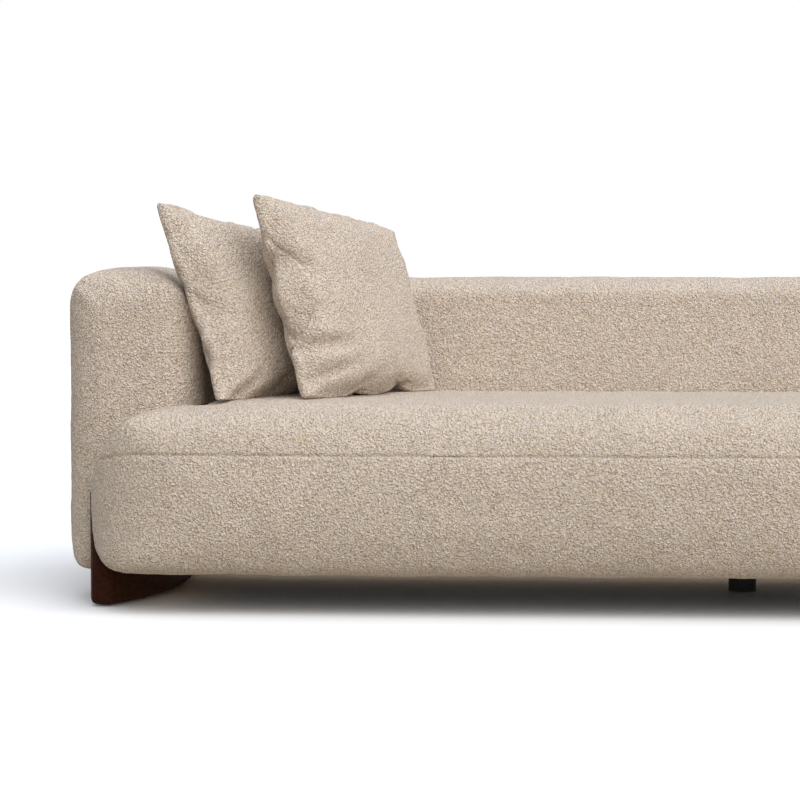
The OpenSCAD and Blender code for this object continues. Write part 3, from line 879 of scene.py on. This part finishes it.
@dataclass
class Pillow(Stuffed):
    """A loose square pillow of two panels, seamed round the edge."""

    settling: Settling = FRONT_SETTLING
    name: str = ""
    body: str = ""
    stands_for: tuple[str, ...] = ()
    cloth_side: float = 0.545
    cells: int = 84
    gap: float = 0.004
    width: float = 0.515
    height: float = 0.485
    thickness: float = 0.158
    padding: float = 0.011
    filled: float = 0.92
    pressure: float = 5.0
    frames: int = 28
    soften: int = 30
    fill: float = 0.6
    lump_sizes: tuple[tuple[float, float], ...] = ((0.09, 0.004), (0.022, 0.0020))

    def __post_init__(self) -> None:
        """Names the piece, its body and its solids."""
        which = self.settling.which
        self.name = f"pillow_{which}_stuffed"
        self.body = f"pillow_{which}"
        self.stands_for = (f"pillow_{which}_cover", f"pillow_{which}_insert")

    def axes(self) -> tuple[np.ndarray, np.ndarray, np.ndarray]:
        """The pillow's directions: along its lower edge to the back, up its face, and out of it."""
        joint = next(j for j in frame["record"]["behaviour"]["joints"]
                     if j["name"] == f"{self.body}_lift")
        up = np.array(joint["axis"])
        lean = math.hypot(up[0], up[1])
        along = np.array([up[1], -up[0], 0.0]) / lean
        return along, up, np.cross(along, up)

    def form(self) -> bpy.types.Object:
        """Makes two square panels a few millimetres apart, sewn together all round."""
        deselect()
        bpy.ops.mesh.primitive_grid_add(
            x_subdivisions=self.cells, y_subdivisions=self.cells, size=self.cloth_side)
        obj = bpy.context.object
        bpy.ops.object.mode_set(mode="EDIT")
        bpy.ops.mesh.select_all(action="SELECT")
        bpy.ops.mesh.extrude_region_move(TRANSFORM_OT_translate={"value": (0, 0, self.gap)})
        bpy.ops.mesh.select_all(action="SELECT")
        bpy.ops.mesh.normals_make_consistent(inside=False)
        bpy.ops.object.mode_set(mode="OBJECT")
        place_points(obj, points(obj) - np.array([0, 0, self.gap / 2]))
        return obj

    def blank(self) -> bpy.types.Object:
        """Makes a stuffed pillow that lies flat round the origin, before it is settled."""
        obj = self.form()
        rows = self.simulate(obj)
        span = rows.max(axis=0) - rows.min(axis=0)
        LOG.info("pillow swells to %.3f x %.3f x %.3f m", *span)
        rows = self.fill_sides(rows)
        reach = np.abs(rows[:, :2] / rows[:, :2].max(axis=0)).max(axis=1)
        rows[:, 2] *= 1 - 0.8 * smooth(0.84, 0.99, reach)
        place_points(obj, rows)
        apply_modifier(obj, "SUBSURF", levels=1, render_levels=1)
        apply_modifier(obj, "SMOOTH", factor=0.5, iterations=self.soften)
        rows = points(obj)
        span = rows.max(axis=0) - rows.min(axis=0)
        size = np.array([self.width, self.height, self.thickness]) - 2 * self.padding
        place_points(obj, rows * size / span)
        place_points(obj, points(obj) + normals(obj) * self.padding)
        apply_modifier(obj, "SMOOTH", factor=0.5, iterations=2)
        return obj

    def fill_sides(self, rows: np.ndarray) -> np.ndarray:
        """Lets the filling push the sides out between the corners, so that they bow in less."""
        rows = rows.copy()
        for axis, other in ((0, 1), (1, 0)):
            place, reach = np.abs(rows[:, other]), np.abs(rows[:, axis])
            steps = np.linspace(0, place.max(), self.cells // 3)
            edge = [reach[(place >= low) & (place <= high)].max()
                    for low, high in zip(steps[:-1], steps[1:])]
            now = np.interp(place, (steps[:-1] + steps[1:]) / 2, edge)
            rows[:, axis] *= 1 + self.filled * (max(edge) / now - 1)
        return rows

    def settle(self, blank: bpy.types.Object, material: bpy.types.Material) -> bpy.types.Object:
        """Makes the whole piece from a stuffed blank, sags it and sets it down on the seat.

        Args:
            blank: The stuffed pillow, flat round the origin.
            material: The cloth it is covered in.

        Returns:
            The finished object.
        """
        obj = bpy.data.objects.new(self.name, blank.data.copy())
        obj.data.name = self.name
        bpy.context.scene.collection.objects.link(obj)
        rows = points(obj)
        if self.settling.turned:
            rows = rows * np.array([-1, -1, 1])
        rows = self.sag(rows)
        low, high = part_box(f"{self.body}_insert")
        centre = np.array((low + high) / 2)
        along, up, out = self.axes()
        placed = centre + rows[:, :1] * along + rows[:, 1:2] * up + rows[:, 2:] * out
        place_points(obj, self.rest(placed))
        return self.finish(obj, material)

    def sag(self, rows: np.ndarray) -> np.ndarray:
        """Moves the corners as the stuffing settles, and presses the folds in."""
        half = np.array([self.width / 2, self.height / 2])
        place = rows[:, :2] / half
        facing = rows[:, 2] > 0
        for fold in self.settling.folds:
            start, end = np.array(fold.start) * half, np.array(fold.end) * half
            run = end - start
            share = np.clip((rows[:, :2] - start) @ run / (run @ run), 0, 1)
            off = np.linalg.norm(rows[:, :2] - start - share[:, None] * run, axis=1)
            fade = 1 - smooth(0.35, 1.0, share)
            rows[:, 2] -= facing * fold.depth * bell(off, fold.width) * fade
            ridge = bell(off - 1.9 * fold.width, fold.width)
            rows[:, 2] += facing * 0.35 * fold.depth * ridge * fade
        far = np.clip((place[:, 0] + 1) / 2, 0, 1)
        top = np.clip((place[:, 1] + 1) / 2, 0, 1)
        corners = (
            ((1 - far) * (1 - top), self.settling.low_near),
            (far * (1 - top), self.settling.low_far),
            ((1 - far) * top, self.settling.top_near),
            (far * top, self.settling.top_far),
        )
        moved = rows.copy()
        for share, move in corners:
            moved += share[:, None] * np.array(move)
        tip = smooth(0.45, 1.0, place[:, 0]) * smooth(0.45, 1.0, place[:, 1])
        moved[:, :2] -= tip[:, None] * self.settling.blunt_far
        near, far = (smooth(0.1, 1.0, sign * place[:, 0]) for sign in (-1, 1))
        over = smooth(0.1, 1.0, place[:, 1])
        moved[:, 0] += self.settling.near_in * near * bell(place[:, 1] + 0.3, 0.75)
        moved[:, 0] -= self.settling.far_in * far * bell(place[:, 1] - 0.3, 0.9)
        moved[:, 1] -= self.settling.top_in * over * bell(place[:, 0] - 0.15, 0.7)
        behind = ~facing * self.settling.thin_behind * smooth(0.7, -0.6, place[:, 0])
        ahead = facing * self.settling.thin_far * smooth(-0.3, 0.7, place[:, 0])
        moved[:, 2] -= rows[:, 2] * (behind + ahead)
        return moved

    def rest(self, placed: np.ndarray) -> np.ndarray:
        """Flattens what would sink into the seat or the back."""
        seat_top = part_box("seat_top_cover")[1].z + 0.004
        soft = 0.018
        low = seat_top + soft
        depth = np.clip(low - placed[:, 2], 0, None)
        placed[:, 2] = np.maximum(placed[:, 2], low - soft * np.tanh(depth / soft))
        back_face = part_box("back_cover")[0].y - 0.002
        far = back_face - soft
        depth = np.clip(placed[:, 1] - far, 0, None)
        placed[:, 1] = np.minimum(placed[:, 1], far + soft * np.tanh(depth / soft))
        return placed


# ---------------------------------------------------------------------------------------------
# Woodwork and hardware
# ---------------------------------------------------------------------------------------------


@dataclass
class Legs:
    """The solid blade legs on edge, and the turned support in the middle."""

    edge_angle: float = 35.0

    def build(self, leg_finish: bpy.types.Material, foot_finish: bpy.types.Material) -> None:
        """Makes each leg with smooth round edges.

        Args:
            leg_finish: The wood of the blades.
            foot_finish: The plastic of the middle support.
        """
        for node, material in (
            ("leg_left", leg_finish), ("leg_right", leg_finish), ("centre_foot", foot_finish),
        ):
            obj = node_copy(node + "_shaped", node)
            take(obj)
            bpy.ops.object.shade_smooth_by_angle(angle=math.radians(self.edge_angle))
            obj.data.materials.append(material)
            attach(obj, "sofa")
            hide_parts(node)
            LOG.info("built %s", obj.name)


@dataclass
class Hidden:
    """The frame, webbing and fasteners inside the sofa, which keep their own solids."""

    beech: tuple[str, str] = ("#d2ac7c", "#b58a5a")
    ply: tuple[str, str] = ("#d9bd8c", "#b8935f")

    def finishes(self) -> dict[tuple[str, Grain], bpy.types.Material]:
        """Makes the finishes of the wooden pieces, one for each wood and grain direction."""
        made = {}
        for grain in Grain:
            tail = grain.name.lower()
            made["beech", grain] = Timber(f"beech_{tail}", *self.beech, grain).build()
            made["plywood", grain] = Timber(
                f"plywood_{tail}", *self.ply, grain, streak_mm=11.0).build()
        return made

    def dress(self) -> None:
        """Gives each solid that still shows its finish."""
        woods = self.finishes()
        others = {
            "webbing": WovenStrap("jute_webbing").build(),
            "black_cloth": PressedFibre("spunbond_black", "#2c2c30", "#121214").build(),
            "felt": PressedFibre("wool_felt", "#4a4742", "#25231f", fibre_mm=1.0).build(),
            "steel": PlatedSteel("zinc_plated_steel").build(),
            "black_plastic": MouldedPlastic("polypropylene_black").build(),
        }
        for part in frame["record"]["subparts"]:
            node, slot = part["node"], part["material_slot"]
            obj = frame["nodes"][node]
            if obj.hide_render:
                continue
            low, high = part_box(node)
            sides = list(high - low)
            grain = Grain(sides.index(max(sides)))
            if slot in ("beech", "plywood"):
                material = woods[slot, grain]
            else:
                material = others[slot]
            for holder in obj.material_slots:
                holder.material = material
            if not obj.material_slots:
                obj.data.materials.append(material)
            LOG.info("dressed %s in %s", node, material.name)


# ---------------------------------------------------------------------------------------------
# Studio
# ---------------------------------------------------------------------------------------------


@dataclass
class Studio:
    """A pale floor, soft lights from above and in front, and the camera."""

    eye: tuple[float, float, float] = (-0.359, -5.28, 0.7035)
    pitch_down: float = 3.09
    turn_left: float = 3.4
    roll: float = 0.0
    lens: float = 108.34
    shift_x: float = -0.045
    floor_size: float = 60.0
    floor_hex: str = "#fafafa"
    air_above: float = 0.63
    air_below: float = 0.48
    tint_above: str = "#eef5ff"
    tint_below: str = "#fff3e2"

    def add_floor(self) -> None:
        """Lays a wide pale floor."""
        deselect()
        bpy.ops.mesh.primitive_plane_add(size=self.floor_size)
        floor = bpy.context.object
        floor.name = "floor"
        material, tree, shader = new_material("painted_floor")
        place = add_node(tree, "TexCoord").outputs["Object"]
        roller = add_node(tree, "TexNoise", inputs={"Vector": place, "Scale": 3.0})
        gloss = add_node(tree, "MapRange", inputs={
            0: roller.outputs["Fac"], 1: 0.0, 2: 1.0, 3: 0.75, 4: 0.85})
        tree.links.new(gloss.outputs[0], shader.inputs["Roughness"])
        shader.inputs["Base Color"].default_value = linear(self.floor_hex)
        shader.inputs["Specular IOR Level"].default_value = 0.1
        floor.data.materials.append(material)
        floor.visible_diffuse = False

    def add_sun(self, name: str, toward: tuple[float, float, float], spread: float,
                strength: float, tint: str = "#ffffff") -> None:
        """Adds an even, very soft light from one side.

        Args:
            name: The light's name.
            toward: The direction it comes from.
            spread: How wide it looks, in degrees.
            strength: What it gives a surface that faces it.
            tint: Its colour.
        """
        data = bpy.data.lights.new(name, "SUN")
        data.energy = strength
        data.angle = math.radians(spread)
        data.color = linear(tint)[:3]
        light = bpy.data.objects.new(name, data)
        bpy.context.scene.collection.objects.link(light)
        light.rotation_euler = Vector(toward).to_track_quat("Z", "Y").to_euler()

    def add_world(self) -> None:
        """Sets the air round the sofa: white to look at, and as light dimmer from below."""
        world = bpy.data.worlds.new("studio_air")
        world.use_nodes = True
        tree = world.node_tree
        tree.nodes.clear()
        way = add_node(tree, "SeparateXYZ", inputs={
            0: add_node(tree, "TexCoord").outputs["Generated"]})
        height = add_node(tree, "MapRange", inputs={0: way.outputs[2], 1: -0.15, 2: 0.25})
        strength = add_node(tree, "MapRange", inputs={
            0: height.outputs[0], 3: self.air_below, 4: self.air_above})
        tint = add_node(tree, "Mix", {"data_type": "RGBA"}, {
            0: height.outputs[0], 6: linear(self.tint_below), 7: linear(self.tint_above)})
        seen = add_node(tree, "LightPath").outputs["Is Camera Ray"]
        dim = add_node(tree, "Background", inputs={
            "Color": tint.outputs[2], "Strength": strength.outputs[0]})
        white = add_node(tree, "Background", inputs={"Color": (1, 1, 1, 1), "Strength": 1.0})
        both = add_node(tree, "MixShader", inputs={
            0: seen, 1: dim.outputs[0], 2: white.outputs[0]})
        add_node(tree, "OutputWorld", inputs={"Surface": both.outputs[0]})
        bpy.context.scene.world = world

    def add_camera(self) -> None:
        """Sets up the camera in front of the sofa, a little above its back."""
        data = bpy.data.cameras.new("camera")
        data.lens = self.lens
        data.sensor_width = 36.0
        data.shift_x = self.shift_x
        data.clip_end = 100.0
        camera = bpy.data.objects.new("camera", data)
        bpy.context.scene.collection.objects.link(camera)
        camera.matrix_world = (
            Matrix.Translation(self.eye)
            @ Matrix.Rotation(math.radians(self.turn_left), 4, "Z")
            @ Matrix.Rotation(math.radians(90 - self.pitch_down), 4, "X")
            @ Matrix.Rotation(math.radians(self.roll), 4, "Z"))
        bpy.context.scene.camera = camera

    def build(self) -> None:
        """Builds the studio."""
        self.add_floor()
        self.add_sun("softbox_above", (0.1, -0.1, 1.0), 75.0, 0.68, "#eef5ff")
        self.add_sun("softbox_front", (0.6, -0.85, 1.0), 70.0, 1.98, "#fffaf4")
        self.add_sun("softbox_side", (1.0, -0.25, 0.6), 80.0, 0.62, "#e6f0ff")
        self.add_world()
        self.add_camera()
        bpy.context.scene.view_settings.view_transform = "Standard"


# ---------------------------------------------------------------------------------------------
# The sofa
# ---------------------------------------------------------------------------------------------


def main() -> None:
    """Builds the sofa and its studio, piece by piece."""
    logging.basicConfig(level=logging.INFO, format="%(name)s: %(message)s", stream=sys.stdout)
    cloth = LoopedCloth("boucle_cream").build()
    Seat().build(cloth)
    Back().build(cloth)
    arm = Arm()
    arm.mirror(arm.build(cloth), cloth)
    blank = Pillow().blank()
    for settling in (REAR_SETTLING, FRONT_SETTLING):
        Pillow(settling=settling).settle(blank, cloth)
    bpy.data.objects.remove(blank)
    Legs().build(
        Timber("walnut_oiled", "#3e1b07", "#200d03", Grain.ALONG_Y, roughness=0.55,
               shine=0.08).build(),
        MouldedPlastic("polypropylene_foot").build())
    Hidden().dress()
    Studio().build()


if __name__ == "__main__":
    main()
